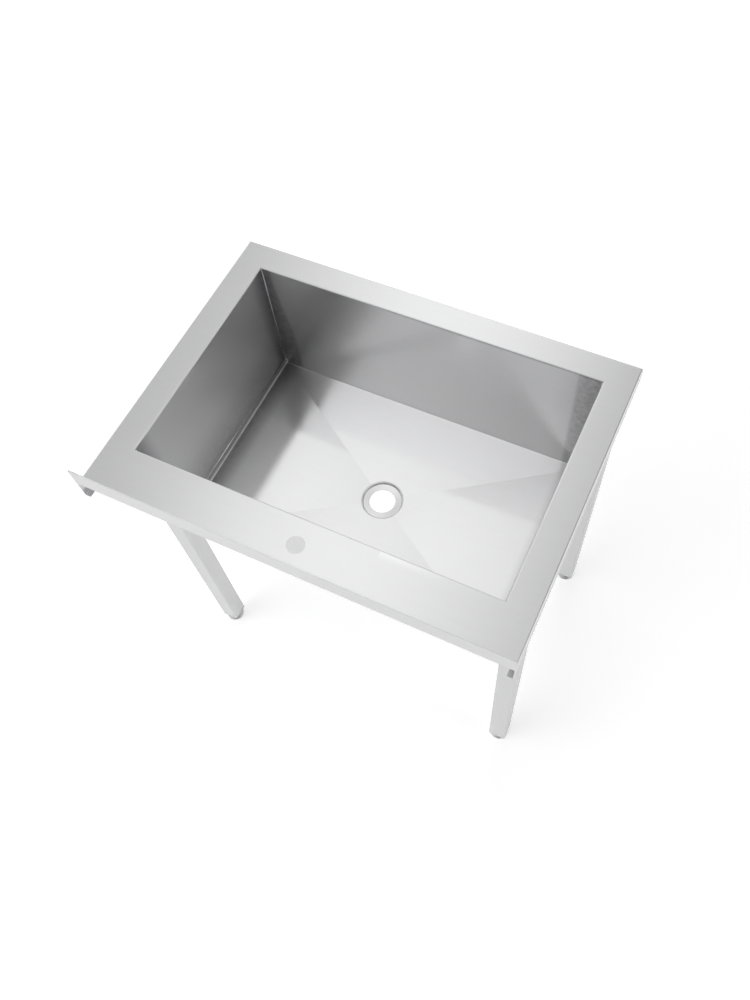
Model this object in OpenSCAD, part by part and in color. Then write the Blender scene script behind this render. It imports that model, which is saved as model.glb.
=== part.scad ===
// Free-standing utility sink: a folded sheet deck with a rear upstand, a deep
// welded bowl with a creased floor, and four square legs on levelling feet.
// The origin is on the floor, under the middle of the deck. The front faces -Y.

/* [Deck] */
// Length of the deck, left to right
deck_l = 800; // [600:10:1200]
// Depth of the deck, front to rear
deck_w = 600; // [480:10:800]
// Height of the deck's top face above the floor
deck_h = 850; // [700:10:950]
// Thickness of the deck and bowl sheet
sheet_t = 1.2; // [0.8:0.1:2]
// Inside radius of the folds in the sheet
fold_r = 1.5; // [0.8:0.1:3]
// Drop of the folded skirt at the front and the sides
skirt_h = 40; // [30:1:60]
// Width of the return folded in under the skirt
return_w = 11.6; // [10:0.2:20]
// Height of the rear upstand above the deck
upstand_h = 43; // [20:1:100]
// Depth of the hem folded down along the top of the upstand
hem_h = 9; // [5:1:14]

/* [Bowl] */
// Width of the deck in front of the bowl
front_rim = 55; // [40:1:80]
// Width of the deck behind the bowl
rear_rim = 98; // [80:1:140]
// Depth of the bowl along its walls
bowl_d = 297; // [150:1:400]
// Fall of the creased floor from the walls to the waste
floor_fall = 14; // [6:0.5:20]
// Height of the floor sheet's upturned ends, where the end walls are welded on
end_flange_h = 18; // [8:1:40]
// Radius of the weld run down each corner of the bowl
weld_r = 2; // [1:0.25:4]

/* [Holes] */
// Radius of the tap hole
tap_hole_r = 16; // [10:0.5:20]
// Distance from the rear face to the centre of the tap hole
tap_inset = 50; // [35:1:60]
// Radius of the waste hole
waste_r = 26.5; // [20:0.5:30]
// Outside radius of the round dish that holds the waste hole
dish_r = 42.5; // [38:0.5:50]
// Gap between the floor sheet and the dish, which the weld fills
ring_gap = 0.3; // [0.1:0.1:0.6]
// Depth of the dish's flat seat below the low point of the floor
dish_d = 3.5; // [2:0.5:6]
// Width of the flat seat around the waste hole
seat_w = 1.5; // [1:0.5:4]
// Fall of the dish's sloping shoulder to the seat
shoulder_fall = 1; // [0.5:0.25:3]
// Run of the steep step inside the dish's rim
step_run = 2; // [1:0.25:3]

/* [Legs] */
// Outside width of the square leg tube
leg_w = 40; // [30:1:50]
// Wall of the leg tube
leg_t = 1.2; // [1:0.1:2]
// Outside corner radius of the leg tube
leg_corner_r = 4; // [3:0.5:6]
// Clearance from a leg to the skirt's return, and from a leg to the bowl's lip
leg_gap = 0.4; // [0.3:0.1:4]
// Distance from the front face to the centre of a front leg
front_leg_inset = 33; // [33:1:120]
// Distance from the rear face to the centre of a rear leg
rear_leg_inset = 116; // [70:1:160]
// Thickness of the plate over each leg
plate_t = 3; // [2:0.5:5]
// Wall of the spigot inside the top of each leg
spigot_t = 2; // [1.5:0.25:3]
// Clearance on each side of what slides into a leg tube
slide_gap = 0.3; // [0.2:0.05:0.6]

/* [Leg screws] */
// Radius of a leg screw's shank
screw_r = 3; // [2:0.25:4]
// Length of a leg screw under its head
screw_l = 10; // [6:1:16]
// Radius of a leg screw's head
screw_head_r = 5.25; // [4.5:0.25:7]
// Height of a leg screw's domed head
screw_head_h = 3.3; // [2:0.1:4.5]
// Width across the flats of the key socket in the head
key_w = 4; // [2:0.5:5]
// Distance between the two screws of a leg
screw_step = 20; // [16:1:30]
// Distance from the skirt's lower edge to the first screw
screw_drop = 10; // [8:1:20]

/* [Feet] */
// Radius of the foot's base
pad_r = 21; // [16:0.5:26]
// Height of the base at its rim
pad_rim_h = 4; // [3:0.5:7]
// Radius of the boss that holds the ball
boss_r = 11; // [10.5:0.5:14]
// Height of the boss above the floor
boss_h = 14; // [13.5:0.5:16]
// Radius of the ball at the lower end of the stem
ball_r = 7; // [6:0.25:7.5]
// Height of the ball's centre above the floor
ball_z = 9; // [8.6:0.1:9.5]
// Running clearance around the ball
ball_gap = 0.1; // [0.05:0.05:0.2]
// Radius of the stem's thread
stem_r = 6; // [5:0.5:8]
// Radius of the neck between the ball and the collar
neck_r = 4.25; // [3.5:0.25:4.5]
// Running clearance between the stem and the insert's thread
thread_gap = 0.05; // [0.02:0.01:0.1]
// Width across the flats of the stem's spanner collar
collar_w = 19; // [17:0.5:24]
// Height of the spanner collar
collar_h = 6.4; // [4:0.2:10]
// Travel of a foot from fully in to fully out
foot_travel = 25; // [10:1:30]
// Length of thread still held when the foot is fully out
thread_hold = 14; // [8:1:20]
// Gap above and below the collar when the foot is fully in
stop_gap = 0.3; // [0.2:0.05:0.5]

/* [Leg inserts] */
// Thickness of the insert's flange under the leg tube
flange_t = 3; // [2:0.5:6]
// Height of the insert's plug inside the leg tube
plug_h = 30; // [20:1:45]
// Wall of the plug and of its ribs
plug_t = 2; // [1.5:0.25:3]
// Radius of the threaded boss in the middle of the plug
plug_boss_r = 10; // [9.5:0.5:13]

/* [Hidden] */
$fn = 64;

// Overrun of every cut past the face that it opens
cut = 2;
// Outside radius of the folds in the sheet
fold_ro = fold_r + sheet_t;
// A leg stands between the return and the bowl's lip, which sets the width of the side rims
side_rim = return_w + leg_w + 2 * leg_gap + fold_ro;
bowl_l = deck_l - 2 * side_rim;
bowl_w = deck_w - front_rim - rear_rim;
bowl_y = (front_rim - rear_rim) / 2;
// Heights of the floor's edge along the walls, and of its low point
floor_z = deck_h - bowl_d;
low_z = floor_z - floor_fall;
// Height of the dish's flat seat
seat_z = low_z - dish_d;

// Centres of the legs
leg_x = deck_l / 2 - return_w - leg_gap - leg_w / 2;
front_leg_y = front_leg_inset - deck_w / 2;
rear_leg_y = deck_w / 2 - rear_leg_inset;
// Position of each leg, and the direction in which its screws face
FRONT_LEFT = [-leg_x, front_leg_y, 1];
FRONT_RIGHT = [leg_x, front_leg_y, 1];
REAR_LEFT = [-leg_x, rear_leg_y, -1];
REAR_RIGHT = [leg_x, rear_leg_y, -1];

// Clear width and corner radius inside a leg tube
tube_in = leg_w - 2 * leg_t;
tube_in_r = leg_corner_r - leg_t;
// Ears of the plate over a leg reach in above the skirt's return
plate_ear = return_w - 2 * sheet_t;
// The spigot reaches below the skirt, as far as its second screw needs
spigot_h = skirt_h + 2 * screw_drop + screw_step - sheet_t - plate_t;

// Stack of a foot that is screwed fully in
collar_z = boss_h + stop_gap;
insert_z = collar_z + collar_h + stop_gap;
leg_z = insert_z + flange_t;
leg_top_z = deck_h - sheet_t - plate_t;
stem_top_z = insert_z + foot_travel + thread_hold;
// Bevels on the stem's tip, the collar and the base's rim
tip_bevel = stem_r / 6;
collar_bevel = collar_h / 8;
rim_bevel = pad_rim_h / 4;
// Depth of the key socket in a screw head
key_d = screw_head_h * 0.6;

steel = [0.80, 0.80, 0.81];
bowl_steel = [0.72, 0.72, 0.74];
tube_steel = [0.78, 0.78, 0.79];
foot_steel = [0.86, 0.86, 0.87];
nylon = [0.70, 0.70, 0.71];

// Rectangle about the origin with round corners
module round_rect(l, w, r) {
    square([l - 2 * r, w], center = true);
    square([l, w - 2 * r], center = true);
    for (x = [-1, 1], y = [-1, 1])
        translate([x * (l / 2 - r), y * (w / 2 - r)]) circle(r);
}

// Quarter of a folded sheet's bend, about its own centre, between the +X and +Y axes
module bend_quarter() {
    intersection() {
        difference() {
            circle(fold_ro);
            circle(fold_r);
        }
        square(fold_ro);
    }
}

// Runs an outline of the Y and Z axes along X
module along_x(l) {
    rotate([90, 0, 90]) linear_extrude(l, center = true) children();
}

// Runs an outline of the X and Z axes along Y
module along_y(l) {
    rotate([90, 0, 0]) linear_extrude(l, center = true) children();
}

// Block that fills the folded tray, drawn in by inset on every face. Its rear runs on past the deck.
module tray_block(inset) {
    rear_run = 2 * fold_ro;
    intersection() {
        translate([0, 0, deck_h - skirt_h / 2])
            along_y(deck_w + 2 * rear_run)
                round_rect(deck_l - 2 * inset, skirt_h - 2 * inset, fold_ro - inset);
        translate([0, rear_run / 2, deck_h - skirt_h / 2])
            along_x(deck_l + 2 * cut)
                round_rect(deck_w - 2 * inset + rear_run, skirt_h - 2 * inset, fold_ro - inset);
    }
}

// Outline of the fold, the leaf and the closed hem of the rear upstand
module upstand_outline() {
    rear = deck_w / 2;
    leaf_z = deck_h - sheet_t + fold_ro;
    hem_z = deck_h + upstand_h - sheet_t;
    translate([rear - fold_ro - cut, deck_h - sheet_t]) square([cut, sheet_t]);
    translate([rear - fold_ro, leaf_z]) mirror([0, 1]) bend_quarter();
    translate([rear - sheet_t, leaf_z]) square([sheet_t, hem_z - leaf_z]);
    translate([rear - 2 * sheet_t, hem_z - hem_h]) square([2 * sheet_t, hem_h]);
    translate([rear - sheet_t, hem_z]) circle(sheet_t);
}

// Deck: one sheet with the skirts and their returns folded down, the upstand
// folded up, and the openings for the bowl and the tap
module deck() {
    color(steel) difference() {
        union() {
            difference() {
                tray_block(0);
                tray_block(sheet_t);
                // open underside, inside the returns
                translate([return_w - deck_l / 2, return_w - deck_w / 2, deck_h - skirt_h - cut])
                    cube([deck_l - 2 * return_w, deck_w, sheet_t + 2 * cut]);
                // rear end of the tray
                translate([-deck_l / 2 - cut, deck_w / 2, deck_h - skirt_h - cut])
                    cube([deck_l + 2 * cut, deck_w / 2, skirt_h + 2 * cut]);
                // strip of the top that the upstand's fold replaces
                translate([sheet_t - deck_l / 2, deck_w / 2 - fold_ro, deck_h - sheet_t - cut])
                    cube([deck_l - 2 * sheet_t, fold_ro + cut, sheet_t + 2 * cut]);
            }
            along_x(deck_l) upstand_outline();
        }
        translate([0, bowl_y, deck_h])
            cube([bowl_l + 2 * fold_ro, bowl_w + 2 * fold_ro, 2 * (sheet_t + cut)], center = true);
        translate([0, deck_w / 2 - tap_inset, deck_h - sheet_t - cut])
            cylinder(h = sheet_t + 2 * cut, r = tap_hole_r);
    }
}

// Space inside the bowl, grown outwards on its walls and floor: a box over an
// inverted pyramid, whose four creases run from the corners to the waste
module bowl_space(grow, top_z) {
    x = bowl_l / 2 + grow;
    y = bowl_w / 2 + grow;
    rim = floor_z - grow;
    translate([0, bowl_y, 0]) polyhedron(
        points = [
            [-x, -y, top_z], [x, -y, top_z], [x, y, top_z], [-x, y, top_z],
            [-x, -y, rim], [x, -y, rim], [x, y, rim], [-x, y, rim],
            [0, 0, low_z - grow]
        ],
        faces = [
            [3, 2, 1, 0],
            [0, 1, 5, 4], [1, 2, 6, 5], [2, 3, 7, 6], [3, 0, 4, 7],
            [4, 5, 8], [5, 6, 8], [6, 7, 8], [7, 4, 8]
        ]
    );
}

// Sheet of the whole bowl, up to where its lips fold out
module bowl_sheet() {
    difference() {
        bowl_space(sheet_t, deck_h - fold_ro);
        bowl_space(0, deck_h + cut);
    }
}

// Lip that folds out from the top of a bowl wall of length l to meet the deck,
// with mitred ends. The wall's inner face lies on the X axis and its back faces +Y.
module bowl_lip(l) {
    intersection() {
        along_x(l + 2 * fold_ro)
            translate([fold_ro, deck_h - fold_ro]) mirror([1, 0]) bend_quarter();
        translate([0, 0, deck_h - fold_ro - cut]) linear_extrude(fold_ro + 2 * cut)
            polygon([[-l / 2, 0], [l / 2, 0], [l / 2 + fold_ro, fold_ro], [-l / 2 - fold_ro, fold_ro]]);
    }
}

// Hollow fillet in an inner corner of the bowl, filling the quadrant of +X and
// +Y and reaching bite deep into both faces
module cove(r, bite = 0) {
    difference() {
        translate([-bite, -bite]) square(r + bite);
        translate([r, r]) circle(r);
    }
}

// Two blocks beyond the bowl's end faces, above the floor sheet's upturned ends
module end_zones(sides) {
    reach = 2 * fold_ro;
    z = floor_z + end_flange_h;
    for (s = sides)
        translate([s > 0 ? bowl_l / 2 : -bowl_l / 2 - reach, bowl_y - bowl_w / 2 - reach, z])
            cube([reach, bowl_w + 2 * reach, bowl_d]);
}

// Front wall, creased floor and rear wall of the bowl, folded from one sheet
module bowl_wrap() {
    color(bowl_steel) {
        difference() {
            bowl_sheet();
            end_zones([-1, 1]);
            translate([0, bowl_y, seat_z - cut])
                cylinder(h = dish_d + floor_fall + 2 * cut, r = dish_r + ring_gap);
        }
        for (side = [0, 180])
            translate([0, bowl_y, 0]) rotate([0, 0, side]) {
                translate([0, bowl_w / 2, 0]) bowl_lip(bowl_l);
                translate([0, -bowl_w / 2, floor_z]) along_x(bowl_l) cove(fold_r, sheet_t / 2);
                translate([-bowl_l / 2, 0, floor_z]) along_y(bowl_w) cove(fold_r, sheet_t / 2);
            }
    }
}

// End wall of the bowl, on side -1 or 1, with the weld runs down its two corners
module bowl_end(side) {
    corner_h = bowl_d - end_flange_h - fold_ro;
    color(bowl_steel) {
        intersection() {
            bowl_sheet();
            end_zones([side]);
        }
        translate([side * bowl_l / 2, bowl_y, 0]) rotate([0, 0, -90 * side]) bowl_lip(bowl_w);
        for (y = [-1, 1])
            translate([side * bowl_l / 2, bowl_y + y * bowl_w / 2, floor_z + end_flange_h])
                linear_extrude(corner_h) mirror([side > 0 ? 1 : 0, 0]) mirror([0, y > 0 ? 1 : 0])
                    cove(weld_r);
    }
}

// Pressed dish around the waste hole: a narrow flat seat, a sloping shoulder and a
// steep step up to the rim, which is trimmed flush with the creased floor
module waste_outlet() {
    seat_edge = waste_r + seat_w;
    shoulder_r = dish_r - sheet_t - step_run;
    shoulder_z = seat_z + shoulder_fall;
    // the floor's highest point around the dish
    rim_z = low_z + floor_fall * dish_r / (min(bowl_l, bowl_w) / 2);
    color(bowl_steel) translate([0, bowl_y, 0]) difference() {
        rotate_extrude($fn = 128) {
            polygon([
                [waste_r, seat_z - sheet_t], [seat_edge, seat_z - sheet_t],
                [shoulder_r, shoulder_z - sheet_t], [shoulder_r + sheet_t, shoulder_z],
                [dish_r, rim_z], [dish_r - sheet_t, rim_z], [shoulder_r, shoulder_z],
                [seat_edge, seat_z], [waste_r, seat_z]
            ]);
            // outside of the bend under the shoulder
            translate([shoulder_r, shoulder_z]) intersection() {
                circle(sheet_t);
                mirror([0, 1]) square(sheet_t);
            }
        }
        translate([0, -bowl_y, 0]) bowl_space(0, deck_h);
    }
}

// Heights of a leg's two screws
function screw_heights() = [for (i = [0, 1]) deck_h - skirt_h - screw_drop - i * screw_step];

// Holes for a leg's screws, through the wall that faces the given direction
module screw_holes(r, face) {
    for (z = screw_heights())
        translate([0, 0, z]) rotate([-90 * face, 0, 0]) cylinder(h = leg_w, r = r);
}

// Plate under the deck and spigot that the leg slides over
module leg_socket(leg) {
    plug_w = tube_in - 2 * slide_gap;
    color(tube_steel) translate([leg[0], leg[1], 0]) difference() {
        union() {
            translate([0, 0, leg_top_z]) linear_extrude(plate_t)
                round_rect(leg_w, leg_w + 2 * plate_ear, leg_corner_r);
            translate([0, 0, leg_top_z - spigot_h]) linear_extrude(spigot_h)
                round_rect(plug_w, plug_w, tube_in_r);
        }
        translate([0, 0, leg_top_z - spigot_h - cut]) linear_extrude(spigot_h + cut)
            round_rect(plug_w - 2 * spigot_t, plug_w - 2 * spigot_t, tube_in_r / 2);
        screw_holes(screw_r + thread_gap, leg[2]);
    }
}

// Square leg tube with its two screw holes
module leg_tube(leg) {
    color(tube_steel) translate([leg[0], leg[1], 0]) difference() {
        translate([0, 0, leg_z]) linear_extrude(leg_top_z - leg_z) difference() {
            round_rect(leg_w, leg_w, leg_corner_r);
            round_rect(tube_in, tube_in, tube_in_r);
        }
        screw_holes(screw_r + slide_gap, leg[2]);
    }
}

// Button-head screw whose head stands on the XY plane and whose shank points down
module button_screw() {
    dome_r = (screw_head_r * screw_head_r + screw_head_h * screw_head_h) / (2 * screw_head_h);
    translate([0, 0, -screw_l]) cylinder(h = screw_l, r = screw_r);
    difference() {
        intersection() {
            cylinder(h = screw_head_h, r = screw_head_r);
            translate([0, 0, screw_head_h - dome_r]) sphere(dome_r);
        }
        translate([0, 0, screw_head_h - key_d])
            cylinder(h = key_d + cut, r = key_w / 2 / cos(30), $fn = 6);
    }
}

// The two screws of every leg
module leg_screws() {
    color(foot_steel)
        for (leg = [FRONT_LEFT, FRONT_RIGHT, REAR_LEFT, REAR_RIGHT])
            for (z = screw_heights())
                translate([leg[0], leg[1] + leg[2] * leg_w / 2, z])
                    rotate([-90 * leg[2], 0, 0]) button_screw();
}

// Ribbed plug in the lower end of a leg, with its flange and threaded boss
module foot_insert(leg) {
    plug_w = tube_in - 2 * slide_gap;
    bore_r = stem_r + thread_gap;
    color(nylon) translate([leg[0], leg[1], insert_z]) difference() {
        union() {
            linear_extrude(flange_t) round_rect(leg_w, leg_w, leg_corner_r);
            translate([0, 0, flange_t]) linear_extrude(plug_h) {
                difference() {
                    round_rect(plug_w, plug_w, tube_in_r);
                    round_rect(plug_w - 2 * plug_t, plug_w - 2 * plug_t, tube_in_r / 2);
                }
                circle(plug_boss_r);
                for (a = [0, 90]) rotate(a) square([plug_w - plug_t, plug_t], center = true);
            }
        }
        translate([0, 0, -cut]) cylinder(h = flange_t + plug_h + 2 * cut, r = bore_r);
    }
}

// Threaded stem with its spanner collar and the ball that the base swivels on
module foot_stem(leg) {
    collar_r = collar_w / 2 / cos(30);
    color(foot_steel) translate([leg[0], leg[1], 0]) {
        translate([0, 0, ball_z]) sphere(ball_r);
        translate([0, 0, ball_z]) cylinder(h = collar_z + collar_bevel - ball_z, r = neck_r);
        intersection() {
            translate([0, 0, collar_z]) cylinder(h = collar_h, r = collar_r, $fn = 6);
            rotate_extrude() polygon([
                [0, collar_z], [collar_r - 2 * collar_bevel, collar_z],
                [collar_r, collar_z + collar_bevel], [collar_r, collar_z + collar_h - collar_bevel],
                [collar_r - 2 * collar_bevel, collar_z + collar_h], [0, collar_z + collar_h]
            ]);
        }
        rotate_extrude() polygon([
            [0, collar_z + collar_bevel], [stem_r, collar_z + collar_bevel],
            [stem_r, stem_top_z - tip_bevel], [stem_r - tip_bevel, stem_top_z], [0, stem_top_z]
        ]);
    }
}

// Round base with the boss that holds the ball
module foot_pad(leg) {
    color(foot_steel) translate([leg[0], leg[1], 0]) difference() {
        rotate_extrude() polygon([
            [0, 0], [pad_r - rim_bevel, 0], [pad_r, rim_bevel], [pad_r, pad_rim_h - rim_bevel],
            [pad_r - rim_bevel, pad_rim_h], [boss_r, ball_z], [boss_r, boss_h - rim_bevel],
            [boss_r - rim_bevel, boss_h], [0, boss_h]
        ]);
        translate([0, 0, ball_z]) sphere(ball_r + ball_gap);
    }
}

deck();
bowl_wrap();
bowl_end(-1);  // bowl_end_left
bowl_end(1);  // bowl_end_right
waste_outlet();
leg_socket(FRONT_LEFT);  // leg_socket_front_left
leg_socket(FRONT_RIGHT);  // leg_socket_front_right
leg_socket(REAR_LEFT);  // leg_socket_rear_left
leg_socket(REAR_RIGHT);  // leg_socket_rear_right
leg_tube(FRONT_LEFT);  // leg_front_left
leg_tube(FRONT_RIGHT);  // leg_front_right
leg_tube(REAR_LEFT);  // leg_rear_left
leg_tube(REAR_RIGHT);  // leg_rear_right
leg_screws();
foot_insert(FRONT_LEFT);  // foot_insert_front_left
foot_insert(FRONT_RIGHT);  // foot_insert_front_right
foot_insert(REAR_LEFT);  // foot_insert_rear_left
foot_insert(REAR_RIGHT);  // foot_insert_rear_right
foot_stem(FRONT_LEFT);  // foot_stem_front_left
foot_stem(FRONT_RIGHT);  // foot_stem_front_right
foot_stem(REAR_LEFT);  // foot_stem_rear_left
foot_stem(REAR_RIGHT);  // foot_stem_rear_right
foot_pad(FRONT_LEFT);  // foot_pad_front_left
foot_pad(FRONT_RIGHT);  // foot_pad_front_right
foot_pad(REAR_LEFT);  // foot_pad_rear_left
foot_pad(REAR_RIGHT);  // foot_pad_rear_right
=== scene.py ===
import math

import bmesh
import bpy
from mathutils import Matrix, Vector


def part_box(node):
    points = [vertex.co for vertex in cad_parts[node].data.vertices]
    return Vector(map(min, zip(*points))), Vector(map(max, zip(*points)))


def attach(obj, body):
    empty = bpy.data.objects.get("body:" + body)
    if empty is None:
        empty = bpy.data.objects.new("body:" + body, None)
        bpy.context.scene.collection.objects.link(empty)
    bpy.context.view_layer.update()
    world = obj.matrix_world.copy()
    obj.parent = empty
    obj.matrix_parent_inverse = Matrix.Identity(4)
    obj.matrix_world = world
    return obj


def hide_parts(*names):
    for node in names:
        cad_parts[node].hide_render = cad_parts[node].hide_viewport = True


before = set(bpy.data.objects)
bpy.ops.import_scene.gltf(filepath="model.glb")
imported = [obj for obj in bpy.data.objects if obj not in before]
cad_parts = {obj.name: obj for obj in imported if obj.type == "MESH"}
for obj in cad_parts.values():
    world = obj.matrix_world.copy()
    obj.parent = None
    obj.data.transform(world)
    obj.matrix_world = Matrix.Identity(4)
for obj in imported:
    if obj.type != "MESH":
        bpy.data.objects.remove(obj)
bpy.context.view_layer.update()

# ---------------------------------------------------------------------------
# Camera: held above and behind the sink's left rear corner, looking down
# into the bowl and a little turned.
camera_place = (-0.4763, 0.7001, 2.1257)
camera_turn = (27.42, 3.442, -154.539)
camera_lens = 31.713
camera_sensor = 36.0
camera_shift = (-0.01924, 0.01374)

camera_data = bpy.data.cameras.new("photo_camera")
camera_data.sensor_fit = "AUTO"
camera_data.sensor_width = camera_sensor
camera_data.lens = camera_lens
camera_data.shift_x, camera_data.shift_y = camera_shift
camera_data.clip_start = 0.05
camera_data.clip_end = 200.0
camera = bpy.data.objects.new("photo_camera", camera_data)
camera.location = camera_place
camera.rotation_euler = [math.radians(angle) for angle in camera_turn]
bpy.context.scene.collection.objects.link(camera)
bpy.context.scene.camera = camera
bpy.context.scene.view_settings.view_transform = "Standard"


# ---------------------------------------------------------------------------
# Studio: a pale floor that runs out to a white cove, and one long soft box
# overhead, from front to rear and right of straight up, that ends short of the
# camera. A lamp stands to its left, and the room is pale to its right.
class Signal:
    """An output of a shader's nodes. Arithmetic on it adds Math nodes."""

    def __init__(self, tree, output=None):
        self.tree = tree
        self.output = output

    def node(self, kind, settings=None, sockets=None):
        """Adds a node: its settings first, then the values or links of its sockets."""
        made = self.tree.nodes.new(kind)
        for name, value in (settings or {}).items():
            setattr(made, name, value)
        for name, value in (sockets or {}).items():
            if isinstance(value, Signal):
                self.tree.links.new(value.output, made.inputs[name])
            else:
                made.inputs[name].default_value = value
        return Signal(self.tree, made.outputs[0] if len(made.outputs) else None)

    def outputs(self, *names):
        """Outputs, by name or number, of the node that this one comes from."""
        return [Signal(self.tree, self.output.node.outputs[name]) for name in names]

    def math(self, operation, *others):
        values = dict(enumerate((self, *others)))
        return self.node("ShaderNodeMath", {"operation": operation}, values)

    def __add__(self, other):
        return self.math("ADD", other)

    def __sub__(self, other):
        return self.math("SUBTRACT", other)

    def __rsub__(self, other):
        return self.node("ShaderNodeMath", {"operation": "SUBTRACT"}, {0: other, 1: self})

    def __mul__(self, other):
        return self.math("MULTIPLY", other)

    def __truediv__(self, other):
        return self.math("DIVIDE", other)

    __radd__ = __add__
    __rmul__ = __mul__


def axes(vector):
    """The X, Y and Z of a vector."""
    return vector.node("ShaderNodeSeparateXYZ", sockets={"Vector": vector}).outputs(0, 1, 2)


def bell(value, middle, spread):
    """One at the middle, falling smoothly to nothing a few spreads away."""
    offset = (value - middle) / spread
    return (offset * offset * -1).math("EXPONENT")


def step_up(value, start, end, low=0.0, high=1.0):
    """Low before the start, high after the end, and smooth between them."""
    return value.node(
        "ShaderNodeMapRange",
        {"interpolation_type": "SMOOTHSTEP"},
        {"Value": value, "From Min": start, "From Max": end, "To Min": low, "To Max": high},
    )


def rays(shader):
    """One for the camera's rays, and one for all that the eye follows: those of
    the camera, of mirrors and of clear things."""
    camera_ray, glossy_ray, clear_ray = shader.node("ShaderNodeLightPath").outputs(
        "Is Camera Ray", "Is Glossy Ray", "Is Transmission Ray"
    )
    return camera_ray, (camera_ray + glossy_ray + clear_ray).math("MINIMUM", 1.0)


floor_half = 40.0
floor_paint = 0.90
floor_glow = 0.52
floor_mirrored_glow = 0.30

# The places of the lights are slopes: how far they lie to the right or to the
# rear for each step up. A pair of slopes is where a light starts and ends to
# rise or fall.
lowest_rise = 0.05
box_slope = 0.29
box_skew = 0.072
box_spread = 0.345
box_front_to_rear = (-0.4, 0.4)
box_front_level = 1.17
box_rear_level = 1.55
box_end = 0.60
box_edge = 0.06
box_spill = 0.08
lamp_fall = (-0.57, -0.22)
lamp_rear_slope = -0.13
lamp_rear_spread = 0.30
lamp_level = 1.18
room_rise_to_rear = (0.0, 1.2)
room_rise_to_right = (-0.1, 1.12)
room_level = 1.9
side_rise = (0.5, 1.1)
side_level = 0.42

# The cove lies low all round. Its places are parts of the direction's length.
cove_low = 0.30
cove_high = 0.62
cove_left_to_right = (-0.9, 0.1)
cove_left_level = 1.3
cove_front_to_rear = (0.1, 0.8)
cove_rear_loss = 0.8

world = bpy.data.worlds.new("studio")
bpy.context.scene.world = world
world.use_nodes = True
world.node_tree.nodes.clear()
studio = Signal(world.node_tree)
(direction,) = studio.node("ShaderNodeTexCoord").outputs("Generated")
along_x, along_y, height = axes(direction)
rise = height.math("MAXIMUM", lowest_rise)
slope_x = along_x / rise
slope_y = along_y / rise
box_level = step_up(slope_y, *box_front_to_rear, box_front_level, box_rear_level)
box = bell(slope_x + slope_y * box_skew, box_slope, box_spread) * box_level
lamp = step_up(slope_x, *lamp_fall, lamp_level, 0.0)
lamp = lamp * bell(slope_y, lamp_rear_slope, lamp_rear_spread)
room = step_up(slope_y, *room_rise_to_rear, 0.0, room_level)
room = room * step_up(slope_x, *room_rise_to_right)
side = step_up(slope_x, *side_rise, 0.0, side_level)
before_end = step_up(slope_y, box_end - box_edge, box_end + box_edge, 1.0, box_spill)
overhead = (box + lamp) * before_end + room + side
cove = step_up(height, cove_low, cove_high, 1.0, 0.0)
cove_level = step_up(along_x, *cove_left_to_right, cove_left_level, 1.0)
cove_level = cove_level * (1 - step_up(along_y, *cove_front_to_rear) * cove_rear_loss)
camera_ray, followed_ray = rays(studio)
beside = followed_ray * cove
level = overhead * (1 - beside) + cove_level * beside
level = level * (1 - camera_ray) + camera_ray
light = level.node("ShaderNodeBackground", sockets={"Color": (1, 1, 1, 1), "Strength": level})
light.node("ShaderNodeOutputWorld", sockets={"Surface": light})

floor_bm = bmesh.new()
bmesh.ops.create_grid(floor_bm, x_segments=1, y_segments=1, size=floor_half)
floor_mesh = bpy.data.meshes.new("studio_floor")
floor_bm.to_mesh(floor_mesh)
floor_bm.free()
floor = bpy.data.objects.new("studio_floor", floor_mesh)
bpy.context.scene.collection.objects.link(floor)
floor_finish = bpy.data.materials.new("studio_floor")
floor_finish.use_nodes = True
floor_finish.node_tree.nodes.clear()
ground = Signal(floor_finish.node_tree)
camera_ray, followed_ray = rays(ground)
paint = ground.node(
    "ShaderNodeBsdfDiffuse", sockets={"Color": (floor_paint, floor_paint, floor_paint, 1)}
)
strength = camera_ray * (floor_glow - floor_mirrored_glow) + followed_ray * floor_mirrored_glow
glow = ground.node("ShaderNodeEmission", sockets={"Color": (1, 1, 1, 1), "Strength": strength})
both = ground.node("ShaderNodeAddShader", sockets={0: paint, 1: glow})
both.node("ShaderNodeOutputMaterial", sockets={"Surface": both})
floor_mesh.materials.append(floor_finish)


# ---------------------------------------------------------------------------
# Deck: one stainless sheet, folded down at the front and sides and up at the
# rear. The mill's satin grain runs along its length.
def new_finish(name):
    """An empty material, and the places on its object to start its nodes from."""
    finish = bpy.data.materials.new(name)
    finish.use_nodes = True
    finish.node_tree.nodes.clear()
    (place,) = Signal(finish.node_tree).node("ShaderNodeTexCoord").outputs("Object")
    return finish, place


def streaks(place, scale, detail):
    """Noise drawn out along a grain: its scale along each axis is per metre."""
    drawn = place.node(
        "ShaderNodeMapping", {"vector_type": "POINT"}, {"Vector": place, "Scale": scale}
    )
    return drawn.node(
        "ShaderNodeTexNoise",
        {"noise_dimensions": "3D"},
        {"Vector": drawn, "Scale": 1.0, "Detail": detail, "Roughness": 0.55},
    )


def grained(grain, along, across):
    """The scale on each axis of streaks that run along one of them."""
    return [along if axis == grain else across for axis in "XYZ"]


def bumps(relief, strength, depth):
    """A surface's turn from bumps of a depth in metres."""
    return relief.node(
        "ShaderNodeBump", sockets={"Strength": strength, "Distance": depth, "Height": relief}
    )


def surface(tone, rough, bump, metallic=1.0, blue=1.0):
    """A grey surface with a trace of blue where it is given."""
    colour = tone.node(
        "ShaderNodeCombineColor", sockets={"Red": tone, "Green": tone, "Blue": tone * blue}
    )
    return colour.node(
        "ShaderNodeBsdfPrincipled",
        sockets={
            "Base Color": colour, "Metallic": metallic, "Roughness": rough, "Normal": bump,
        },
    )


def finished(finish, shader):
    """Ends a material's nodes."""
    shader.node("ShaderNodeOutputMaterial", sockets={"Surface": shader})
    return finish


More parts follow.
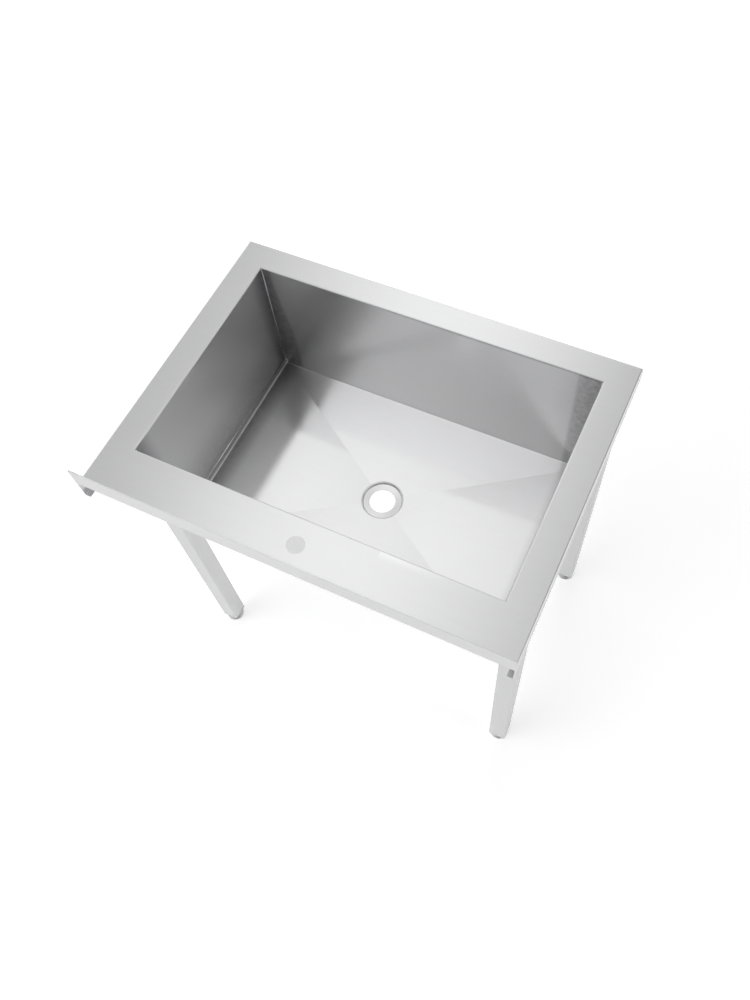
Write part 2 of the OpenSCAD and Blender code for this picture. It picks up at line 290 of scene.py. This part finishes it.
grain_along, grain_across = 25.0, 4000.0
grain_depth = 1e-5
band_along, band_across = 9.0, 200.0
cloud_scale = (9.0, 9.0, 9.0)
patch_scale = (90.0, 90.0, 90.0)
satin_spread = 0.03
satin_rough_spread = 0.04
satin_blue = 1.008
pit_share = 0.43


def satin_steel(name, grey, grain, sharp=0.06, hazy=0.47, marks_and_painted_light=None, dim=None):
    """Stainless sheet: polished tops between duller pits finer than the eye can see, and a
    satin grain along one axis, "X", "Y" or "Z". Where they are given,
    "marks_and_painted_light" works out how bright a place is beside the plain sheet, from real
    marks and from painted light and shade, and "dim" how rough its polished tops are."""
    finish, place = new_finish(name)
    grain_line = streaks(place, grained(grain, grain_along, grain_across), 0.0)
    band = streaks(place, grained(grain, band_along, band_across), 2.0)
    cloud = streaks(place, cloud_scale, 3.0)
    x, y, z = axes(place)
    tone = grey + (cloud - 0.5) * satin_spread + (band - 0.5) * satin_spread
    if marks_and_painted_light:
        tone = tone * marks_and_painted_light(x, y, z, streaks(place, patch_scale, 3.0) - 0.5)
    scratch = bumps(grain_line, 1.0, grain_depth)
    polished, pitted = (
        surface(tone, rough + (cloud - 0.5) * satin_rough_spread, scratch, blue=satin_blue)
        for rough in (dim(x, y, z) if dim else sharp, hazy)
    )
    both = place.node("ShaderNodeMixShader", sockets={0: pit_share, 1: polished, 2: pitted})
    return finished(finish, both)


def dress(finish, *names):
    """Gives CAD nodes a finish."""
    for name in names:
        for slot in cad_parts[name].material_slots:
            slot.material = finish


# A painted highlight: a bright streak painted on the deck beside the bowl's rear edge.
painted_highlight_y = 0.203
painted_highlight_half = 0.010
painted_highlight_gain = 0.13
painted_highlight_fade_in = (-0.30, -0.14)
painted_highlight_end = (-0.134, -0.129)


def painted_highlight_streak(x, y, z, patch):
    """A painted highlight: the bright streak on the deck beside the bowl's rear edge, sharp at
    its right end.
    """
    along = step_up(x, *painted_highlight_fade_in) * step_up(x, *painted_highlight_end, 1.0, 0.0)
    return 1 + along * bell(y, painted_highlight_y, painted_highlight_half) * painted_highlight_gain


dress(satin_steel("deck_satin", grey=0.85, grain="X", marks_and_painted_light=painted_highlight_streak), "deck")


# ---------------------------------------------------------------------------
# Bowl wrap: front wall, creased floor and rear wall, folded from one sheet. The
# creases are pressed sharp, so each facet of the floor is shaded flat.
def new_piece(name, mesh, finish, body="sink"):
    """Puts a finished mesh in the scene as a piece that rides on a body."""
    piece = bpy.data.objects.new(name, mesh)
    bpy.context.scene.collection.objects.link(piece)
    mesh.materials.clear()
    mesh.materials.append(finish)
    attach(piece, body)
    return piece


# The bowl's lines: the inner faces of its walls, the top of the floor's upturned
# ends, the floor's edge, and the start of the lip that folds out to the deck.
fold_ro = 0.0027
upturn = 0.018
end_low, end_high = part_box("bowl_end_right")
wall_x = end_high.x - fold_ro
wall_y = (end_low.y + fold_ro, end_high.y - fold_ro)
bowl_y = (wall_y[0] + wall_y[1]) / 2
bowl_half_y = (wall_y[1] - wall_y[0]) / 2
seam_z = end_low.z
edge_z = seam_z - upturn
lip_z = end_high.z - fold_ro

# The wrap is darker or lighter by these parts of its tone: painted shade on its front lip and
# in its corners, and a painted reflection on its upturned ends. A zone of painted corner shade
# has a crisp edge, which the patches make uneven, over a soft one twice as wide.
lip_loss = 0.25
wall_loss = 0.05
upturn_gain = 0.05
corner_shade_loss = 0.42
corner_shade_width = 0.048
corner_shade_crisp = 0.010
corner_shade_crisp_share = 0.55
corner_shade_soft_share = 0.45
corner_shade_uneven = 0.014
corner_shade_floor_level = 1.4
corner_shade_patches = 0.15
corner_shade_wall_patches = 0.45

# Near its top the right zone narrows.
narrow_heights = (0.62, 0.84)
narrow_right = (0.0, 0.1)
narrowing = 0.024

# The walls' polish is rougher than the floor's.
floor_rough = 0.06
wall_rough = 0.22

# Widths over which one look gives way to the next: at the floor's edge, in and
# above the upturned ends, at the lip, and between the lips of front and rear.
floor_blend = 0.002
polish_blend = 0.004
upturn_start, upturn_end = 0.0015, 0.003
seam_blend = 0.001
lip_blend = 0.0005
rear_blend = 0.01

# How far beyond a wall's inner face the look of the outer face starts and ends.
skin_start, skin_end = 0.0003, 0.0009


def inside(distance, wall):
    """One on the face inside the bowl, and nothing on the sheet's outer face."""
    return step_up(distance, wall + skin_start, wall + skin_end, 1.0, 0.0)


def painted_corner_shade(x, y, z, patch):
    """Inside, painted shade darkens the wrap in its corners at its two ends, beside its
    ground-down corner welds, but not on its upturned edges. Its front lip gets painted shade
    too, and its upturned ends a painted reflection."""
    back = (y - bowl_y).math("ABSOLUTE")
    end_gap = wall_x - x.math("ABSOLUTE")
    on_wall = step_up(z, edge_z, edge_z + floor_blend)
    narrow = step_up(z, *narrow_heights) * step_up(x, *narrow_right) * narrowing
    gap = end_gap + narrow + patch * corner_shade_uneven
    zone = step_up(gap, corner_shade_width - corner_shade_crisp, corner_shade_width, corner_shade_crisp_share, 0.0)
    zone = zone + step_up(gap, 0.0, corner_shade_width * 2, corner_shade_soft_share, 0.0)
    floor_zone = step_up(end_gap, 0.0, corner_shade_width, corner_shade_floor_level, 0.0)
    on_upturn = step_up(end_gap, upturn_start, upturn_end, 1.0, 0.0)
    on_upturn = on_upturn * step_up(z, seam_z, seam_z + seam_blend, 1.0, 0.0)
    painted_shade = (zone * on_wall + floor_zone * (1 - on_wall)) * (1 - on_upturn)
    painted_shade = painted_shade * inside(back, bowl_half_y)
    # Painted shade dims the front lip, and a painted reflection lightens the upturned ends.
    lip = step_up(z, lip_z, lip_z + lip_blend, 0.0, lip_loss)
    lip = lip * step_up(y, -rear_blend, 0.0, 1.0, 0.0)
    plain = (1 - lip) * (1 - on_wall * wall_loss + on_upturn * upturn_gain)
    loss = corner_shade_loss + patch * (corner_shade_patches + on_wall * corner_shade_wall_patches)
    return plain * (1 - painted_shade * loss)


def wall_dim(x, y, z):
    """The floor keeps more of the mill's polish than the walls."""
    return step_up(z, edge_z, edge_z + polish_blend, floor_rough, wall_rough)


level_face = 0.99

wrap_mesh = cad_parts["bowl_wrap"].data.copy()
wrap_normals = [corner.vector.copy() for corner in wrap_mesh.corner_normals]
for face in wrap_mesh.polygons:
    if abs(face.normal.z) > level_face:
        for corner in face.loop_indices:
            wrap_normals[corner] = face.normal.copy()
wrap_mesh.normals_split_custom_set(wrap_normals)
wrap_finish = satin_steel(
    "wrap_satin", grey=0.88, grain="X", marks_and_painted_light=painted_corner_shade, dim=wall_dim
)
wrap = new_piece("bowl_wrap_sheet", wrap_mesh, wrap_finish)
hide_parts("bowl_wrap")

# ---------------------------------------------------------------------------
# Bowl ends: two flat walls welded to the wrap, down both corners and along the
# floor's upturned ends, and ground smooth.
# Painted shade beside an end wall's corners and a little above its foot.
corner_level = 1.15
corner_uneven = 0.016
foot_level = 0.4
foot_uneven = 0.03
end_patches = 0.5


def painted_end_shade(x, y, z, patch):
    """Inside, painted shade darkens an end wall beside its corners, and a little above its
    foot.
    """
    gap = bowl_half_y - (y - bowl_y).math("ABSOLUTE")
    corner = step_up(gap + patch * corner_uneven, 0.0, corner_shade_width, corner_level, 0.0)
    foot = bell(z + patch * foot_uneven, seam_z + corner_shade_width, corner_shade_width) * foot_level
    painted_shade = corner.math("MAXIMUM", foot) * inside(x.math("ABSOLUTE"), wall_x)
    return 1 - painted_shade * (corner_shade_loss + patch * end_patches)


end_finish = satin_steel(
    "end_satin", grey=0.90, grain="Y", sharp=wall_rough, marks_and_painted_light=painted_end_shade
)
dress(end_finish, "bowl_end_left", "bowl_end_right")

# ---------------------------------------------------------------------------
# Weld runs: the thin beads left along the upturned ends of the floor and up the
# corners, and the short ones where the corner weld steps round the floor's edge.
bead_r = 0.0009
bead_sides = 12
bead_out = 0.0004
bead_top = 0.848
step_start = 0.001
step_end = 0.0065
bead_tone, bead_tone_spread = 0.86, 0.08
bead_rough, bead_rough_spread = 0.25, 0.1
ripple_scale = (700.0, 700.0, 700.0)
ripple_depth = 0.0002


def weld_run(bm, start, end):
    """A round bead from start to end, half sunk in the sheet that it joins."""
    start, end = Vector(start), Vector(end)
    turn = (end - start).to_track_quat("Z", "Y").to_matrix().to_4x4()
    bmesh.ops.create_cone(
        bm, cap_ends=True, segments=bead_sides, radius1=bead_r, radius2=bead_r,
        depth=(end - start).length, matrix=Matrix.Translation((start + end) / 2) @ turn,
    )


def bead_steel(name):
    """Ground weld metal, rippled along the run."""
    finish, place = new_finish(name)
    ripple = streaks(place, ripple_scale, 2.0)
    tone = bead_tone + (ripple - 0.5) * bead_tone_spread
    rough = bead_rough + (ripple - 0.5) * bead_rough_spread
    return finished(finish, surface(tone, rough, bumps(ripple, 0.6, ripple_depth)))


seam_bm = bmesh.new()
for side in (-1, 1):
    x = side * wall_x
    weld_run(seam_bm, (x, wall_y[0], seam_z), (x, wall_y[1], seam_z))
    for y in wall_y:
        corner_x = x - side * bead_out
        corner_y = y + math.copysign(bead_out, bowl_y - y)
        weld_run(seam_bm, (corner_x, corner_y, seam_z), (corner_x, corner_y, bead_top))
        weld_run(seam_bm, (x - side * step_start, y, seam_z), (x - side * step_end, y, edge_z))
seam_mesh = bpy.data.meshes.new("weld_runs")
seam_bm.to_mesh(seam_mesh)
seam_bm.free()
seam_mesh.shade_smooth()
new_piece("weld_runs", seam_mesh, bead_steel("weld_bead"))

# ---------------------------------------------------------------------------
# Waste outlet: a pressed steel dish with a round hole, let into the floor and
# welded all round. The weld was ground down to a thin, low ring.
turning_pitch = 0.005
turning_gain = 0.05
# Painted light: the dish is painted lighter to the right.
painted_light_to_right = 1.5


def lathe_rings_and_painted_light(x, y, z, patch):
    """Faint rings that the lathe left when the dish was trued, and painted light that makes it
    lighter to the right.
    """
    back = y - bowl_y
    turn = (x * x + back * back).math("SQRT") * (2 * math.pi / turning_pitch)
    return 1 + turn.math("SINE") * turning_gain + x * painted_light_to_right


outlet_finish = satin_steel(
    "outlet_satin", grey=0.86, grain="X", sharp=0.15, hazy=0.5, marks_and_painted_light=lathe_rings_and_painted_light
)
dress(outlet_finish, "waste_outlet")

# The weld's ring stands on the four slopes of the floor.
ring_r = 0.0425
ring_half = 0.0007
ring_flat = 0.3
ring_sink = 0.0001
ring_sides = 12
ring_steps = 128
floor_fall = 0.014

ring_bm = bmesh.new()
bmesh.ops.create_circle(
    ring_bm, cap_ends=False, radius=ring_half, segments=ring_sides,
    matrix=Matrix.Translation((ring_r, 0, 0))
    @ Matrix.Diagonal((1.0, 1.0, ring_flat, 1.0))
    @ Matrix.Rotation(math.pi / 2, 4, "X"),
)
bmesh.ops.spin(
    ring_bm, geom=ring_bm.edges[:], cent=(0, 0, 0), axis=(0, 0, 1), angle=2 * math.pi,
    steps=ring_steps, use_merge=True,
)
for corner in ring_bm.verts:
    outward = max(abs(corner.co.x) / wall_x, abs(corner.co.y) / bowl_half_y)
    corner.co.z += edge_z - floor_fall * (1 - outward) - ring_sink
    corner.co.y += bowl_y
bmesh.ops.remove_doubles(ring_bm, verts=ring_bm.verts, dist=1e-7)
bmesh.ops.recalc_face_normals(ring_bm, faces=ring_bm.faces)
ring_mesh = bpy.data.meshes.new("waste_weld")
ring_bm.to_mesh(ring_mesh)
ring_bm.free()
ring_mesh.shade_smooth()
ring_finish = satin_steel("waste_weld_steel", grey=0.62, grain="Z", sharp=0.4, hazy=0.6)
new_piece("waste_weld", ring_mesh, ring_finish)

# ---------------------------------------------------------------------------
# Legs: square stainless tubes, each slid over a spigot on a plate under the
# deck and held by two button-head screws.
places = ("front_left", "front_right", "rear_left", "rear_right")
tube_finish = satin_steel("tube_satin", grey=0.8, grain="Z", sharp=0.15)
dress(tube_finish, *[f"leg_{place}" for place in places])
socket_finish = satin_steel("socket_steel", grey=0.6, grain="X", sharp=0.35)
dress(socket_finish, *[f"leg_socket_{place}" for place in places])
dress(satin_steel("screw_steel", grey=0.7, grain="Z"), "leg_screws")

# ---------------------------------------------------------------------------
# Leg inserts: moulded pale nylon, ribbed inside the tube, with a flange that
# closes its end.
nylon_tone, nylon_tone_spread = 0.75, 0.06
nylon_rough, nylon_rough_spread = 0.42, 0.12
nylon_cloud_scale = (60.0, 60.0, 60.0)
mould_grain_scale = (1500.0, 1500.0, 1500.0)
mould_grain_depth = 0.0001


def moulded_nylon(name):
    """Pale nylon with the fine grain of its mould."""
    finish, place = new_finish(name)
    grain = streaks(place, mould_grain_scale, 2.0)
    cloud = streaks(place, nylon_cloud_scale, 2.0)
    tone = nylon_tone + (cloud - 0.5) * nylon_tone_spread
    rough = nylon_rough + (grain - 0.5) * nylon_rough_spread
    bump = bumps(grain, 0.5, mould_grain_depth)
    return finished(finish, surface(tone, rough, bump, metallic=0.0))


dress(moulded_nylon("insert_nylon"), *[f"foot_insert_{place}" for place in places])

# ---------------------------------------------------------------------------
# Foot stems: turned steel with a ball below, a spanner collar and a cut M12
# thread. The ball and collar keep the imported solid's shape, and the thread
# takes the place of its plain shank.
thread_crest = 0.006
thread_root = 0.00495
thread_pitch = 0.00175
thread_steps = 32
shank_low = 0.0205
shank_high = 0.0601
sharp_fold = math.radians(28)
lathe_scale = 2500
lathe_depth = 0.00003
lathe_cloud_scale = (120.0, 120.0, 120.0)
lathe_tone_spread = 0.08
lathe_rough_spread = 0.1


def turned_steel(name, centre, grey=0.75, rough=0.22):
    """Bright steel with the fine rings that the lathe leaves about its axis."""
    finish, place = new_finish(name)
    centred = place.node(
        "ShaderNodeMapping", {"vector_type": "POINT"},
        {"Vector": place, "Location": (-centre.x, -centre.y, 0.0)},
    )
    across, along, up = axes(centred)
    radius = (across * across + along * along).math("SQRT")
    lathe = radius.node(
        "ShaderNodeCombineXYZ", sockets={"X": radius * lathe_scale, "Y": up * lathe_scale}
    )
    rings = lathe.node(
        "ShaderNodeTexNoise", {"noise_dimensions": "3D"},
        {"Vector": lathe, "Scale": 1.0, "Detail": 1.0},
    )
    cloud = streaks(centred, lathe_cloud_scale, 2.0) - 0.5
    bump = bumps(rings, 1.0, lathe_depth)
    tone = grey + cloud * lathe_tone_spread
    return finished(finish, surface(tone, rough + cloud * lathe_rough_spread, bump))


def cut_above(bm, level, outwards=1):
    """Cuts off what lies above a level, or below it, and closes the cut."""
    cut = bmesh.ops.bisect_plane(
        bm, geom=bm.verts[:] + bm.edges[:] + bm.faces[:],
        plane_co=(0, 0, level), plane_no=(0, 0, outwards), clear_outer=True,
    )
    rim = [part for part in cut["geom_cut"] if isinstance(part, bmesh.types.BMEdge)]
    bmesh.ops.holes_fill(bm, edges=rim, sides=0)


def cut_thread(centre):
    """A thread spun up about a centre from the collar to the tip."""
    thread = bmesh.new()
    root_low = thread.verts.new((thread_root, 0, shank_low - thread_pitch))
    crest = thread.verts.new((thread_crest, 0, shank_low - thread_pitch / 2))
    root_high = thread.verts.new((thread_root, 0, shank_low))
    profile = [thread.edges.new((root_low, crest)), thread.edges.new((crest, root_high))]
    turns = math.ceil((shank_high - shank_low) / thread_pitch)
    bmesh.ops.spin(
        thread, geom=profile + [root_low, crest, root_high], cent=(0, 0, 0), axis=(0, 0, 1),
        dvec=(0, 0, thread_pitch / thread_steps), angle=2 * math.pi * turns,
        steps=thread_steps * turns,
    )
    bmesh.ops.remove_doubles(thread, verts=thread.verts, dist=1e-5)
    cut_above(thread, shank_low, -1)
    cut_above(thread, shank_high - thread_pitch / 2)
    bmesh.ops.recalc_face_normals(thread, faces=thread.faces)
    bmesh.ops.translate(thread, verts=thread.verts, vec=(centre.x, centre.y, 0))
    mesh = bpy.data.meshes.new("thread")
    thread.to_mesh(mesh)
    thread.free()
    return mesh


def threaded_stem(place):
    """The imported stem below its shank, with a core and a thread above."""
    low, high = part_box(f"foot_stem_{place}")
    centre = (low + high) / 2
    stem = bmesh.new()
    stem.from_mesh(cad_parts[f"foot_stem_{place}"].data)
    bmesh.ops.remove_doubles(stem, verts=stem.verts, dist=1e-6)
    cut_above(stem, shank_low)
    bmesh.ops.create_cone(
        stem, cap_ends=True, segments=thread_steps, radius1=thread_root,
        radius2=thread_root, depth=shank_high - shank_low,
        matrix=Matrix.Translation((centre.x, centre.y, (shank_low + shank_high) / 2)),
    )
    thread_mesh = cut_thread(centre)
    stem.from_mesh(thread_mesh)
    bpy.data.meshes.remove(thread_mesh)
    mesh = bpy.data.meshes.new(f"threaded_stem_{place}")
    stem.to_mesh(mesh)
    stem.free()

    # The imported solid's shading no longer fits.
    for name in ("custom_normal", "sharp_face", "sharp_edge"):
        if name in mesh.attributes:
            mesh.attributes.remove(mesh.attributes[name])
    mesh.shade_smooth()
    mesh.set_sharp_from_angle(angle=sharp_fold)
    finish = turned_steel(f"stem_steel_{place}", centre)
    piece = new_piece(f"threaded_stem_{place}", mesh, finish, f"stem_{place}")
    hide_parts(f"foot_stem_{place}")


for place in places:
    threaded_stem(place)

# ---------------------------------------------------------------------------
# Foot bases: turned steel discs that stand on the floor, each with a boss that is
# rolled over the ball of its stem.
for place in places:
    low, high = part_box(f"foot_pad_{place}")
    finish = turned_steel(f"base_steel_{place}", (low + high) / 2, grey=0.8, rough=0.55)
    dress(finish, f"foot_pad_{place}")
